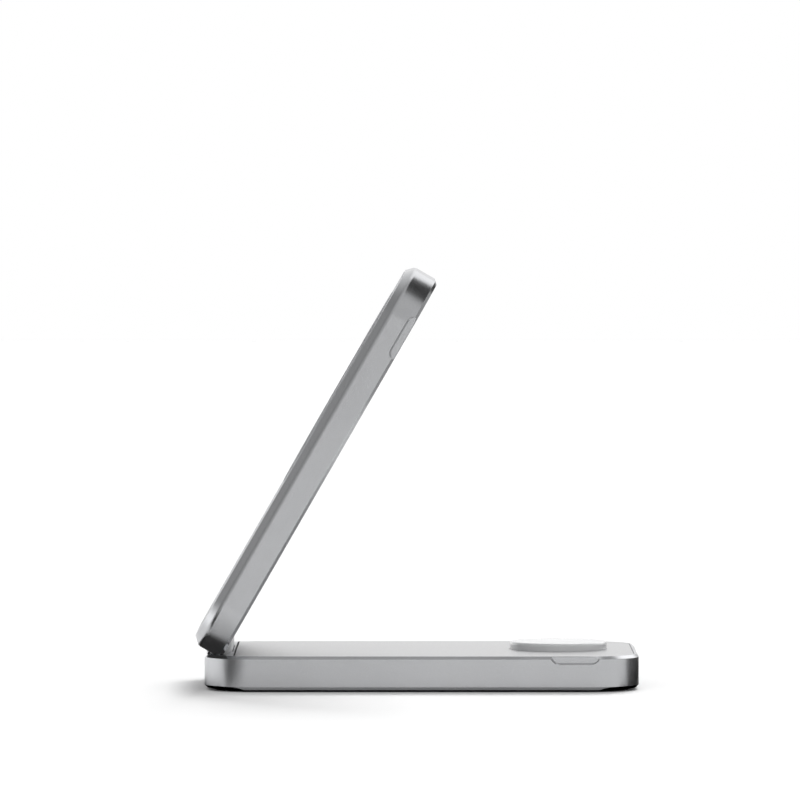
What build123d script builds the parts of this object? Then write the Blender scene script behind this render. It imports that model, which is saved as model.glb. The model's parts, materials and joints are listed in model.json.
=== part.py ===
from build123d import *
import os
from math import cos, sin, radians

os.makedirs("parts", exist_ok=True)

# Folding charging stand: a base slab on the table and an equal panel slab hinged at the base's -X end.
# All sizes are millimetres. The frame's origin is on the table, under the middle of the base.
# X runs towards the watch puck, Y across the slabs, Z up. The panel is drawn open, as it stands in use.

# Slabs
slab_length = 110.0
slab_width = 66.0
slab_thickness = 8.5
corner_radius = 13.0
edge_chamfer = 0.75
outer_bevel = 1.9
bevel_blend = 1.6
open_angle = 60.0
fold_gap = 0.3
foot_proud = 0.55

# Plates set in the frames
plate_rim = 1.15
plate_gap = 0.1
plate_start = 7.4
plate_corner = 1.2
deck_thickness = 1.2
cover_thickness = 1.2
face_thickness = 1.0
face_rim = 2.3

# Frames
base_wall = 2.2
panel_wall = 3.3
floor_thickness = 1.4
hinge_boss = 9.0
cavity_corner = 2.0

# Foot pad
pad_inset = 2.5
pad_recess = 0.5
pad_edge = 0.2

# Hinge, measured from its pivot
pivot_inset = 3.4
pivot_depth = 2.8
groove_radius = 4.2
knuckle_radius = 3.4
knuckle_flat = 3.0
knuckle_width = 28.0
knuckle_clearance = 0.35
knuckle_seat = 0.1
neck_offset = 1.8
cheek_gap = 0.5
stop_gap = 0.1
pocket_floor = 3.6
pocket_gap = 0.25
pin_radius = 1.2
pin_screw_gap = 2.6
pin_flat = 0.9
pin_running_gap = 0.05
clip_wall = 0.6
clip_width = 5.5
clip_gap = 0.3
clip_slit = 0.6
clip_tab = 0.7
clip_tab_width = 0.5
web_half = 2.2
washer_radius = 2.6
washer_gap = 0.08
keeper_flange = 1.0
keeper_side_gap = 6.0
keeper_screw_inset = 2.4
keeper_screw_radius = 0.65
keeper_screw_length = 3.6
keeper_head_radius = 1.05
keeper_head_height = 0.7

# Hinge block screws
block_screw_y = 9.0
block_screw_radius = 1.0
block_screw_length = 4.6
block_head_radius = 1.8
block_head_height = 1.2
thread_gap = 0.05
shank_gap = 0.1
hex_key = 1.3
hex_depth = 0.6

# Watch puck
puck_from_end = 20.0
puck_radius = 12.4
puck_rise = 2.0
puck_edge = 0.8
puck_dish_radius = 10.6
puck_dish_depth = 0.5
puck_flange = 1.8
puck_flange_height = 1.0
puck_wall = 1.0
puck_skin = 1.05
watch_coil_inner = 5.2
watch_coil_height = 1.2
watch_magnet_radius = 4.6
watch_magnet_height = 2.2
watch_ferrite_height = 0.8
puck_recess_radius = 13.5
puck_recess_depth = 2.4
puck_recess_wall = 0.8
puck_recess_edge = 0.4

# Earbud charger
earbud_from_hinge = 45.0
earbud_coil_outer = 18.0
earbud_coil_inner = 8.0
earbud_coil_height = 0.9
earbud_ferrite_lip = 1.0
earbud_ferrite_height = 0.5

# Telephone charger, measured on the panel
ring_from_end = 36.0
ring_width = 5.0
ring_lip = 0.6
ring_groove = 0.4
ring_proud = 0.25
ring_edge = 0.15
magnet_wall_gap = 2.3
magnet_width = 4.2
magnet_height = 1.1
magnet_count = 18
magnet_gap = 0.8
magnet_coil_gap = 2.2
phone_coil_width = 11.0
phone_coil_height = 1.0
phone_ferrite_lip = 1.0
phone_ferrite_height = 0.6
align_length = 20.0
align_width = 5.0
align_gap = 3.0
coil_turns = 3
turn_groove = 0.3

# Batteries
cell_corner = 2.0
cell_edge = 0.5
base_cell_length = 58.0
base_cell_side_gap = 3.8
base_cell_height = 3.9
panel_cell_side_gap = 2.7
panel_cell_height = 3.7
cell_gap = 1.5
cell_tab_length = 1.2
cell_tab_height = 0.6

# Base circuit board
board_cell_gap = 0.9
board_corner = 9.0
board_end_gap = 1.2
board_thickness = 0.8
board_boss_height = 0.8
board_boss_radius = 2.0
board_screw_end_gap = 4.0
board_screw_side_gap = 6.0
board_screw_radius = 0.75
board_screw_reach = 1.3
board_head_radius = 1.4
board_head_height = 0.9
chip_height = 1.0

# Panel circuit board
panel_board_length = 8.5
panel_board_gap = 1.05
panel_board_side_gap = 6.7

# Charging socket
socket_width = 8.94
socket_height = 3.16
socket_depth = 7.3
socket_wall = 0.3
socket_back = 1.0
socket_set_back = 0.35
socket_gap = 0.15
tongue_width = 6.7
tongue_height = 0.7
tongue_length = 4.5

# Power button and charge lights
button_from_end = 20.0
button_width = 8.6
button_height = 2.2
button_gap = 0.2
button_proud = 0.35
button_edge = 0.3
button_flange = 0.8
button_flange_lip = 0.9
button_rest_gap = 0.05
button_travel = 0.4
switch_gap = 0.25
switch_width = 6.0
switch_depth = 3.0
switch_height = 2.4
switch_overhang = 1.3
light_from_button = 11.5
light_count = 4
light_pitch = 3.0
light_radius = 0.6
light_gap = 0.05
light_bar_depth = 1.6
light_bar_height = 2.0

# Finger notch, shared by the two slabs' near walls
notch_length = 12.5
notch_height = 4.1
notch_depth = 0.6
notch_from_end = 10.0

# Worked out from the sizes above
base_bottom = foot_proud
base_top = base_bottom + slab_thickness
floor_top = base_bottom + floor_thickness
deck_bottom = base_top - deck_thickness
half_length = slab_length / 2
half_width = slab_width / 2
puck_x = half_length - puck_from_end
earbud_x = -half_length + earbud_from_hinge
ring_x = half_length - ring_from_end
button_x = half_length - button_from_end
light_x = button_x - light_from_button
pivot_x = -half_length + pivot_inset
pivot_z = base_top + fold_gap + pivot_depth
open_rad = radians(open_angle)
up_panel = Vector(cos(open_rad), 0, sin(open_rad))
out_of_panel = Vector(-sin(open_rad), 0, cos(open_rad))
pivot = Vector(pivot_x, 0, pivot_z)
panel_centre = pivot + up_panel * (half_length - pivot_inset) - out_of_panel * pivot_depth
block_bottom = pocket_floor
block_shoulder = base_top + knuckle_seat
lip_height = (knuckle_flat + stop_gap - pivot_inset * cos(open_rad)) / sin(open_rad)
cheek = knuckle_width / 2 + cheek_gap
keeper_reach = half_width - keeper_side_gap
keeper_screw_y = keeper_reach - keeper_screw_inset
pin_reach = keeper_screw_y - pin_screw_gap
clip_inner = pin_radius + pin_running_gap
clip_outer = clip_inner + clip_wall
clip_bore = clip_outer + pin_running_gap
puck_top = base_top + puck_rise
puck_ceiling = puck_top - puck_skin
boss_inner_x = -half_length + hinge_boss
base_cell_width = 2 * (half_width - base_wall - base_cell_side_gap)
base_cell_x = boss_inner_x + cell_gap + base_cell_length / 2
board_start = base_cell_x + base_cell_length / 2 + cell_tab_length + board_cell_gap
board_length = half_length - base_wall - board_end_gap - board_start
board_x = board_start + board_length / 2
board_screw_x = board_length / 2 - board_screw_end_gap
board_bottom = floor_top + board_boss_height
board_top = board_bottom + board_thickness
socket_z = board_top + socket_height / 2
button_z = board_top + switch_height / 2
far_wall_inner = half_width - base_wall
flange_front = far_wall_inner - button_rest_gap
flange_back = flange_front - button_flange
switch_front = flange_back - button_travel - switch_gap
board_width = 2 * (switch_front - switch_overhang)
board_screw_y = board_width / 2 - board_screw_side_gap
earbud_ferrite_radius = earbud_coil_outer + earbud_ferrite_lip
face_bottom = slab_thickness - face_thickness
magnet_outer = half_width - panel_wall - magnet_wall_gap
magnet_inner = magnet_outer - magnet_width
ring_outer = magnet_outer + ring_lip
ring_inner = ring_outer - ring_width
phone_coil_outer = magnet_inner - magnet_coil_gap
phone_coil_inner = phone_coil_outer - phone_coil_width
phone_ferrite_radius = phone_coil_outer + phone_ferrite_lip
panel_cell_width = 2 * (half_width - panel_wall - panel_cell_side_gap)
panel_board_width = 2 * (half_width - panel_wall - panel_board_side_gap)
panel_board_start = boss_inner_x + keeper_flange + keeper_head_height + cell_gap / 2
panel_cell_start = panel_board_start + panel_board_length + panel_board_gap
panel_cell_end = puck_x - puck_recess_radius - puck_recess_wall - cell_gap - cell_tab_length
panel_cell_length = panel_cell_end - panel_cell_start
notch_x = half_length - notch_from_end - notch_length / 2

# Planes: sketches on the panel use x along it, y across it and z out towards the telephone
panel_inner = Plane(origin=panel_centre, x_dir=up_panel, z_dir=out_of_panel)
panel_side = Plane(origin=pivot, x_dir=up_panel, z_dir=(0, -1, 0))
base_side = Plane(origin=pivot, x_dir=(1, 0, 0), z_dir=(0, -1, 0))
end_wall = Plane(origin=(half_length, 0, socket_z), x_dir=(0, 1, 0), z_dir=(1, 0, 0))
far_wall = Plane(origin=(button_x, half_width, button_z), x_dir=(1, 0, 0), z_dir=(0, 1, 0))
light_wall = Plane(origin=(light_x, half_width, button_z), x_dir=(1, 0, 0), z_dir=(0, 1, 0))
base_notch = Plane(origin=(0, -half_width, base_top), x_dir=(1, 0, 0), z_dir=(0, -1, 0))
panel_notch = Plane(origin=panel_centre - Vector(0, half_width, 0), x_dir=up_panel, z_dir=(0, -1, 0))
keeper_face = Plane(origin=pivot + up_panel * (hinge_boss - pivot_inset), x_dir=(0, 1, 0), z_dir=up_panel)


def slab_outline(inset):
    """Rounded rectangle of a slab, drawn inwards by inset."""
    RectangleRounded(slab_length - 2 * inset, slab_width - 2 * inset, corner_radius - inset)


def plate_outline(inset, start, corner):
    """Slab outline drawn inwards, with the hinge end cut square at start from the slab's end."""
    slab_outline(inset)
    with Locations((-half_length, 0)):
        Rectangle(2 * start, slab_width, mode=Mode.SUBTRACT)
    fillet(vertices().group_by(Axis.X)[0], corner)


def coil_outline(outer, inner):
    """Flat ring of a wound coil."""
    Circle(outer)
    Circle(inner, mode=Mode.SUBTRACT)


def turn_lines(outer, inner):
    """Grooves between the turns of a wound coil."""
    pitch = (outer - inner) / coil_turns
    for turn in range(1, coil_turns):
        Circle(outer - turn * pitch + turn_groove / 2)
        Circle(outer - turn * pitch - turn_groove / 2, mode=Mode.SUBTRACT)


# Base frame: one milled tray with the hinge boss, the groove and the board bosses
with BuildPart() as base_frame:
    with BuildSketch(Plane.XY.offset(base_bottom)):
        slab_outline(0)
    extrude(amount=slab_thickness)
    chamfer(base_frame.edges().group_by(Axis.Z)[-1], edge_chamfer)
    chamfer(base_frame.edges().group_by(Axis.Z)[0], edge_chamfer)
    with BuildSketch(Plane.XY.offset(deck_bottom)):
        plate_outline(plate_rim, plate_start, plate_corner)
    extrude(amount=2 * deck_thickness, mode=Mode.SUBTRACT)
    with BuildSketch(Plane.XY.offset(floor_top)):
        plate_outline(base_wall, hinge_boss, cavity_corner)
    extrude(amount=slab_thickness, mode=Mode.SUBTRACT)
    with BuildSketch(Plane.XY.offset(base_bottom)):
        slab_outline(pad_inset)
    extrude(amount=pad_recess, mode=Mode.SUBTRACT)
    with BuildSketch(base_side):
        Circle(groove_radius)
    extrude(amount=slab_width, both=True, mode=Mode.SUBTRACT)
    with BuildSketch(Plane.XY.offset(pocket_floor)):
        with Locations((pivot_x - neck_offset - knuckle_seat, 0)):
            pocket_length = neck_offset + knuckle_radius + knuckle_seat + pocket_gap
            pocket_width = knuckle_width + 2 * knuckle_seat
            Rectangle(pocket_length, pocket_width, align=(Align.MIN, Align.CENTER))
    extrude(amount=slab_thickness, mode=Mode.SUBTRACT)
    with Locations(Plane.XY.offset(base_bottom + pad_recess)):
        with Locations((pivot_x + (knuckle_radius - neck_offset) / 2, 0)):
            with GridLocations(0, 2 * block_screw_y, 1, 2):
                Cylinder(block_screw_radius + shank_gap, slab_thickness / 2,
                         align=(Align.CENTER, Align.CENTER, Align.MIN), mode=Mode.SUBTRACT)
                Cylinder(block_head_radius + shank_gap, block_head_height + shank_gap,
                         align=(Align.CENTER, Align.CENTER, Align.MIN), mode=Mode.SUBTRACT)
    with BuildSketch(Plane.XY.offset(floor_top)):
        with Locations((board_x, 0)):
            with GridLocations(2 * board_screw_x, 2 * board_screw_y, 2, 2):
                Circle(board_boss_radius)
    extrude(amount=board_boss_height)
    with BuildSketch(Plane.XY.offset(board_bottom)):
        with Locations((board_x, 0)):
            with GridLocations(2 * board_screw_x, 2 * board_screw_y, 2, 2):
                Circle(board_screw_radius + thread_gap)
    extrude(amount=-board_screw_reach - thread_gap, mode=Mode.SUBTRACT)
    with BuildSketch(end_wall):
        SlotOverall(socket_width + 2 * socket_gap, socket_height + 2 * socket_gap)
    extrude(amount=-2 * base_wall, mode=Mode.SUBTRACT)
    with BuildSketch(far_wall):
        SlotOverall(button_width + 2 * button_gap, button_height + 2 * button_gap)
    extrude(amount=-1.5 * base_wall, mode=Mode.SUBTRACT)
    with BuildSketch(light_wall):
        with GridLocations(light_pitch, 0, light_count, 1):
            Circle(light_radius + light_gap)
    extrude(amount=-1.5 * base_wall, mode=Mode.SUBTRACT)
    with BuildSketch(base_notch):
        with Locations((notch_x, fold_gap / 2)):
            SlotOverall(notch_length, notch_height)
    extrude(amount=-notch_depth, mode=Mode.SUBTRACT)
base_frame.part.label = "base_frame"
export_step(base_frame.part, "parts/base_frame.step")

# Base deck: plate flush with the frame, with the puck's hole
with BuildPart() as base_deck:
    with BuildSketch(Plane.XY.offset(deck_bottom)):
        plate_outline(plate_rim + plate_gap, plate_start + plate_gap, plate_corner)
        with Locations((puck_x, 0)):
            Circle(puck_radius + plate_gap, mode=Mode.SUBTRACT)
    extrude(amount=deck_thickness)
base_deck.part.label = "base_deck"
export_step(base_deck.part, "parts/base_deck.step")

# Foot pad: silicone sheet in the recess under the frame, also hides the hinge screws
with BuildPart() as foot_pad:
    with BuildSketch():
        slab_outline(pad_inset + plate_gap)
    extrude(amount=foot_proud + pad_recess)
    chamfer(foot_pad.edges().group_by(Axis.Z)[0], pad_edge)
foot_pad.part.label = "foot_pad"
export_step(foot_pad.part, "parts/foot_pad.step")

# Watch puck: turned cap with a flange under the deck, a dished top and room for the coil
with BuildPart() as watch_puck:
    with BuildSketch(Plane.XY.offset(deck_bottom - puck_flange_height)):
        with Locations((puck_x, 0)):
            Circle(puck_radius + puck_flange)
    extrude(amount=puck_flange_height)
    with BuildSketch(Plane.XY.offset(deck_bottom)):
        with Locations((puck_x, 0)):
            Circle(puck_radius)
    extrude(amount=puck_top - deck_bottom)
    fillet(watch_puck.edges().group_by(Axis.Z)[-1], puck_edge)
    with BuildSketch(Plane.XY.offset(deck_bottom - puck_flange_height)):
        with Locations((puck_x, 0)):
            Circle(puck_radius - puck_wall)
    extrude(amount=puck_ceiling - deck_bottom + puck_flange_height, mode=Mode.SUBTRACT)
    dish_sphere = (puck_dish_radius ** 2 + puck_dish_depth ** 2) / (2 * puck_dish_depth)
    with Locations((puck_x, 0, puck_top - puck_dish_depth + dish_sphere)):
        Sphere(dish_sphere, mode=Mode.SUBTRACT)
watch_puck.part.label = "watch_puck"
export_step(watch_puck.part, "parts/watch_puck.step")

# Watch coil under the puck's skin
with BuildPart() as watch_coil:
    with BuildSketch(Plane.XY.offset(puck_ceiling)):
        with Locations((puck_x, 0)):
            coil_outline(puck_radius - puck_wall - plate_gap, watch_coil_inner)
    extrude(amount=-watch_coil_height)
watch_coil.part.label = "watch_coil"
export_step(watch_coil.part, "parts/watch_coil.step")

# Watch magnet in the coil's middle
with BuildPart() as watch_magnet:
    with BuildSketch(Plane.XY.offset(puck_ceiling)):
        with Locations((puck_x, 0)):
            Circle(watch_magnet_radius)
    extrude(amount=-watch_magnet_height)
watch_magnet.part.label = "watch_magnet"
export_step(watch_magnet.part, "parts/watch_magnet.step")

# Watch ferrite behind the coil
with BuildPart() as watch_ferrite:
    with BuildSketch(Plane.XY.offset(puck_ceiling - watch_coil_height)):
        with Locations((puck_x, 0)):
            coil_outline(puck_radius - puck_wall - plate_gap, watch_magnet_radius + plate_gap)
    extrude(amount=-watch_ferrite_height)
watch_ferrite.part.label = "watch_ferrite"
export_step(watch_ferrite.part, "parts/watch_ferrite.step")

# Earbud coil glued under the deck
with BuildPart() as earbud_coil:
    with BuildSketch(Plane.XY.offset(deck_bottom)):
        with Locations((earbud_x, 0)):
            coil_outline(earbud_coil_outer, earbud_coil_inner)
    extrude(amount=-earbud_coil_height)
    with BuildSketch(Plane.XY.offset(deck_bottom)):
        with Locations((earbud_x, 0)):
            turn_lines(earbud_coil_outer, earbud_coil_inner)
    extrude(amount=-earbud_coil_height / 2, mode=Mode.SUBTRACT)
earbud_coil.part.label = "earbud_coil"
export_step(earbud_coil.part, "parts/earbud_coil.step")

# Earbud ferrite behind the coil
with BuildPart() as earbud_ferrite:
    with BuildSketch(Plane.XY.offset(deck_bottom - earbud_coil_height)):
        with Locations((earbud_x, 0)):
            Circle(earbud_ferrite_radius)
    extrude(amount=-earbud_ferrite_height)
earbud_ferrite.part.label = "earbud_ferrite"
export_step(earbud_ferrite.part, "parts/earbud_ferrite.step")

# Base battery: pouch cell on the tray's floor, with its sealed end
with BuildPart() as base_battery:
    with BuildSketch(Plane.XY.offset(floor_top)):
        with Locations((base_cell_x, 0)):
            RectangleRounded(base_cell_length, base_cell_width, cell_corner)
    extrude(amount=base_cell_height)
    fillet(base_battery.edges().group_by(Axis.Z)[-1], cell_edge)
    with Locations((base_cell_x + base_cell_length / 2, 0, floor_top)):
        Box(cell_tab_length, base_cell_width - 4 * cell_corner, cell_tab_height,
            align=(Align.MIN, Align.CENTER, Align.MIN))
base_battery.part.label = "base_battery"
export_step(base_battery.part, "parts/base_battery.step")

# Base circuit board with its chips, on four bosses
with BuildPart() as base_board:
    with BuildSketch(Plane.XY.offset(board_bottom)):
        with Locations((board_x, 0)):
            RectangleRounded(board_length, board_width, board_corner)
            with GridLocations(2 * board_screw_x, 2 * board_screw_y, 2, 2):
                Circle(board_screw_radius + shank_gap, mode=Mode.SUBTRACT)
    extrude(amount=board_thickness)
    with BuildSketch(Plane.XY.offset(board_top)):
        with Locations((board_x - board_length / 4, 0)):
            with GridLocations(0, board_width / 5, 1, 3):
                Rectangle(board_length / 6, board_width / 10)
        with Locations((board_x + board_length / 12, -board_width / 5)):
            Rectangle(board_length / 5, board_length / 5)
    extrude(amount=chip_height)
base_board.part.label = "base_board"
export_step(base_board.part, "parts/base_board.step")

# Four screws that hold the board
with BuildPart() as board_screws:
    with BuildSketch(Plane.XY.offset(board_top)):
        with Locations((board_x, 0)):
            with GridLocations(2 * board_screw_x, 2 * board_screw_y, 2, 2):
                Circle(board_head_radius)
    extrude(amount=board_head_height)
    with BuildSketch(Plane.XY.offset(board_top)):
        with Locations((board_x, 0)):
            with GridLocations(2 * board_screw_x, 2 * board_screw_y, 2, 2):
                Circle(board_screw_radius)
    extrude(amount=-board_thickness - board_screw_reach)
board_screws.part.label = "board_screws"
export_step(board_screws.part, "parts/board_screws.step")

# Charging socket: drawn metal shell, closed at the back, with its tongue
with BuildPart() as charge_socket:
    with BuildSketch(end_wall.offset(-socket_set_back)):
        SlotOverall(socket_width, socket_height)
    extrude(amount=-socket_depth)
    with BuildSketch(end_wall.offset(-socket_set_back)):
        SlotOverall(socket_width - 2 * socket_wall, socket_height - 2 * socket_wall)
    extrude(amount=-socket_depth + socket_back, mode=Mode.SUBTRACT)
    with BuildSketch(end_wall.offset(-socket_set_back - socket_depth + socket_back)):
        Rectangle(tongue_width, tongue_height)
    extrude(amount=tongue_length)
charge_socket.part.label = "charge_socket"
export_step(charge_socket.part, "parts/charge_socket.step")

# Power button: cap through the far wall, with a flange that stops it inside
with BuildPart() as power_button:
    with BuildSketch(far_wall.offset(button_proud)):
        SlotOverall(button_width, button_height)
    extrude(amount=-button_proud - half_width + flange_front)
    chamfer(power_button.edges().group_by(Axis.Y)[-1], button_edge)
    with BuildSketch(far_wall.offset(flange_front - half_width)):
        SlotOverall(button_width + 2 * button_flange_lip, button_height + 2 * button_flange_lip)
    extrude(amount=-button_flange)
power_button.part.label = "power_button"
export_step(power_button.part, "parts/power_button.step")

# Switch behind the button, on the board
with BuildPart() as power_switch:
    with Locations((button_x, switch_front, board_top)):
        Box(switch_width, switch_depth, switch_height, align=(Align.CENTER, Align.MAX, Align.MIN))
power_switch.part.label = "power_switch"
export_step(power_switch.part, "parts/power_switch.step")

# Light pipe: clear bar with one peg in each hole of the far wall
with BuildPart() as light_pipe:
    with BuildSketch(light_wall.offset(-base_wall)):
        Rectangle(light_pitch * light_count, light_bar_height)
    extrude(amount=-light_bar_depth)
    with BuildSketch(light_wall.offset(-base_wall)):
        with GridLocations(light_pitch, 0, light_count, 1):
            Circle(light_radius)
    extrude(amount=base_wall)
light_pipe.part.label = "light_pipe"
export_step(light_pipe.part, "parts/light_pipe.step")

# Hinge block: knuckle with a flat that the panel's lip lands on, bored for the friction clips
with BuildPart() as hinge_block:
    with BuildSketch(base_side):
        Circle(knuckle_radius)
        with Locations((-knuckle_flat, block_shoulder - pivot_z)):
            Rectangle(knuckle_flat + knuckle_radius, pivot_z - block_shoulder, align=(Align.MIN, Align.MIN))
        with Locations((-neck_offset, block_bottom - pivot_z)):
            Rectangle(neck_offset + knuckle_radius, pivot_z - block_bottom, align=(Align.MIN, Align.MIN))
        with Locations((-knuckle_flat, 0)):
            Rectangle(knuckle_radius, 4 * knuckle_radius, align=(Align.MAX, Align.CENTER), mode=Mode.SUBTRACT)
        Circle(pin_radius + pin_running_gap, mode=Mode.SUBTRACT)
    extrude(amount=knuckle_width / 2, both=True)
    for side in (1, -1):
        with BuildSketch(base_side.offset(side * web_half)):
            Circle(clip_bore)
            Rectangle(clip_tab_width + 2 * thread_gap, 2 * (clip_outer + clip_tab + thread_gap))
            with Locations((0, -clip_bore)):
                Rectangle(2 * clip_bore, clip_bore * 2, align=(Align.CENTER, Align.MAX), mode=Mode.SUBTRACT)
        extrude(amount=side * slab_width, mode=Mode.SUBTRACT)
    with Locations(Plane.XY.offset(block_bottom)):
        with Locations((pivot_x + (knuckle_radius - neck_offset) / 2, 0)):
            with GridLocations(0, 2 * block_screw_y, 1, 2):
                Cylinder(block_screw_radius + thread_gap, block_screw_length,
                         align=(Align.CENTER, Align.CENTER, Align.MIN), mode=Mode.SUBTRACT)
hinge_block.part.label = "hinge_block"
export_step(hinge_block.part, "parts/hinge_block.step")

# Two screws up through the tray's floor into the hinge block
with BuildPart() as hinge_screws:
    head_top = base_bottom + pad_recess + block_head_height + shank_gap
    with BuildSketch(Plane.XY.offset(head_top)):
        with Locations((pivot_x + (knuckle_radius - neck_offset) / 2, 0)):
            with GridLocations(0, 2 * block_screw_y, 1, 2):
                Circle(block_head_radius)
    extrude(amount=-block_head_height)
    with BuildSketch(Plane.XY.offset(head_top)):
        with Locations((pivot_x + (knuckle_radius - neck_offset) / 2, 0)):
            with GridLocations(0, 2 * block_screw_y, 1, 2):
                Circle(block_screw_radius)
    extrude(amount=block_bottom - head_top + block_screw_length - shank_gap)
    with BuildSketch(Plane.XY.offset(head_top - block_head_height)):
        with Locations((pivot_x + (knuckle_radius - neck_offset) / 2, 0)):
            with GridLocations(0, 2 * block_screw_y, 1, 2):
                RegularPolygon(hex_key, 6)
    extrude(amount=hex_depth, mode=Mode.SUBTRACT)
hinge_screws.part.label = "hinge_screws"
export_step(hinge_screws.part, "parts/hinge_screws.step")

# Friction clips: four spring bands that grip the pin, each with a tab in the block's slot
with BuildPart() as friction_clips:
    for side in (1, -1):
        for step in (0, 1):
            start = web_half + clip_gap / 2 + step * (clip_width + clip_gap)
            with BuildSketch(base_side.offset(side * start)):
                Circle(clip_outer)
                with Locations((0, clip_inner)):
                    Rectangle(clip_tab_width, clip_wall + clip_tab, align=(Align.CENTER, Align.MIN))
                Circle(clip_inner, mode=Mode.SUBTRACT)
                with Locations((clip_tab_width / 2, 0)):
                    Rectangle(clip_slit, 2 * clip_outer, align=(Align.MIN, Align.MIN), mode=Mode.SUBTRACT)
            extrude(amount=side * clip_width)
friction_clips.part.label = "friction_clips"
export_step(friction_clips.part, "parts/friction_clips.step")

# Thrust washers between the block and the panel's cheeks
with BuildPart() as hinge_washers:
    for side in (1, -1):
        with BuildSketch(base_side.offset(side * knuckle_width / 2)):
            Circle(washer_radius)
            Circle(clip_inner, mode=Mode.SUBTRACT)
        extrude(amount=side * (cheek_gap - washer_gap))
hinge_washers.part.label = "hinge_washers"
export_step(hinge_washers.part, "parts/hinge_washers.step")

# Hinge pin: steel rod with a flat at each end for the keepers
with BuildPart() as hinge_pin:
    with BuildSketch(panel_side):
        Circle(pin_radius)
    extrude(amount=pin_reach, both=True)
    for side in (1, -1):
        with BuildSketch(panel_side.offset(side * (cheek - plate_gap))):
            with Locations((pin_flat, 0)):
                Rectangle(pin_radius, 4 * pin_radius, align=(Align.MIN, Align.CENTER))
        extrude(amount=side * pin_reach, mode=Mode.SUBTRACT)
hinge_pin.part.label = "hinge_pin"
export_step(hinge_pin.part, "parts/hinge_pin.step")

# Panel frame: milled ring with the hinge cheeks, open on both sides for its plates
with BuildPart() as panel_frame:
    with BuildSketch(panel_inner):
        slab_outline(0)
    extrude(amount=slab_thickness)
    chamfer(panel_frame.edges().group_by(Axis(panel_centre, out_of_panel))[0], edge_chamfer)
    chamfer(panel_frame.edges().group_by(Axis(panel_centre, out_of_panel))[-1], outer_bevel)
    bevel_low = slab_thickness - 1.2 * outer_bevel
    bevel_high = slab_thickness - 0.8 * outer_bevel
    out_axis = Axis(panel_centre, out_of_panel)
    bevel_edges = panel_frame.edges().filter_by_position(out_axis, bevel_low, bevel_high)
    fillet(bevel_edges, bevel_blend)
    with BuildSketch(panel_inner.offset(cover_thickness)):
        plate_outline(plate_rim, plate_start, plate_corner)
    extrude(amount=-2 * cover_thickness, mode=Mode.SUBTRACT)
    with BuildSketch(panel_inner.offset(face_bottom)):
        slab_outline(face_rim)
    extrude(amount=2 * face_thickness, mode=Mode.SUBTRACT)
    with BuildSketch(panel_inner):
        plate_outline(panel_wall, hinge_boss, cavity_corner)
    extrude(amount=slab_thickness, mode=Mode.SUBTRACT)
    with BuildSketch(panel_side):
        Circle(knuckle_radius + knuckle_clearance)
        with Locations((knuckle_radius + knuckle_clearance, 0)):
            Rectangle(4 * knuckle_radius, 2 * pivot_depth, align=(Align.MAX, Align.MAX))
        Rectangle(2 * knuckle_radius, lip_height, align=(Align.MAX, Align.MIN))
    extrude(amount=cheek, both=True, mode=Mode.SUBTRACT)
    for side in (1, -1):
        with BuildSketch(panel_side.offset(side * (cheek - plate_gap))):
            Circle(pin_radius)
            Rectangle(hinge_boss, 2 * pin_radius, align=(Align.MIN, Align.CENTER))
        extrude(amount=side * (pin_reach - cheek + 2 * plate_gap), mode=Mode.SUBTRACT)
    with BuildSketch(keeper_face):
        with GridLocations(2 * keeper_screw_y, 0, 2, 1):
            Circle(keeper_screw_radius + thread_gap)
    extrude(amount=-keeper_screw_length - thread_gap, mode=Mode.SUBTRACT)
    with BuildSketch(panel_notch):
        with Locations((notch_x, -fold_gap / 2)):
            SlotOverall(notch_length, notch_height)
    extrude(amount=-notch_depth, mode=Mode.SUBTRACT)
panel_frame.part.label = "panel_frame"
export_step(panel_frame.part, "parts/panel_frame.step")

# Pin keepers: two blocks that fill the cheeks' slots behind the pin
with BuildPart() as pin_keepers:
    for side in (1, -1):
        with BuildSketch(panel_side.offset(side * cheek)):
            with Locations((pin_flat, 0)):
                Rectangle(hinge_boss - pivot_inset - pin_flat, 2 * (pin_radius - thread_gap),
                          align=(Align.MIN, Align.CENTER))
        extrude(amount=side * (pin_reach - cheek))
        with BuildSketch(panel_side.offset(side * cheek)):
            with Locations((hinge_boss - pivot_inset, 0)):
                Rectangle(keeper_flange, 2 * pin_radius, align=(Align.MIN, Align.CENTER))
        extrude(amount=side * (keeper_reach - cheek))
    with BuildSketch(keeper_face):
        with GridLocations(2 * keeper_screw_y, 0, 2, 1):
            Circle(keeper_screw_radius + thread_gap)
    extrude(amount=keeper_flange, mode=Mode.SUBTRACT)
pin_keepers.part.label = "pin_keepers"
export_step(pin_keepers.part, "parts/pin_keepers.step")

# Keeper screws
with BuildPart() as keeper_screws:
    with BuildSketch(keeper_face.offset(keeper_flange)):
        with GridLocations(2 * keeper_screw_y, 0, 2, 1):
            Circle(keeper_head_radius)
    extrude(amount=keeper_head_height)
    with BuildSketch(keeper_face.offset(keeper_flange)):
        with GridLocations(2 * keeper_screw_y, 0, 2, 1):
            Circle(keeper_screw_radius)
    extrude(amount=-keeper_flange - keeper_screw_length)
keeper_screws.part.label = "keeper_screws"
export_step(keeper_screws.part, "parts/keeper_screws.step")

# Telephone face plate with a groove for the soft ring
with BuildPart() as phone_face:
    with BuildSketch(panel_inner.offset(face_bottom)):
        slab_outline(face_rim + plate_gap)
    extrude(amount=face_thickness)
    with BuildSketch(panel_inner.offset(slab_thickness)):
        with Locations((ring_x, 0)):
            coil_outline(ring_outer, ring_inner)
    extrude(amount=-ring_groove, mode=Mode.SUBTRACT)
phone_face.part.label = "phone_face"
export_step(phone_face.part, "parts/phone_face.step")

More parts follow.
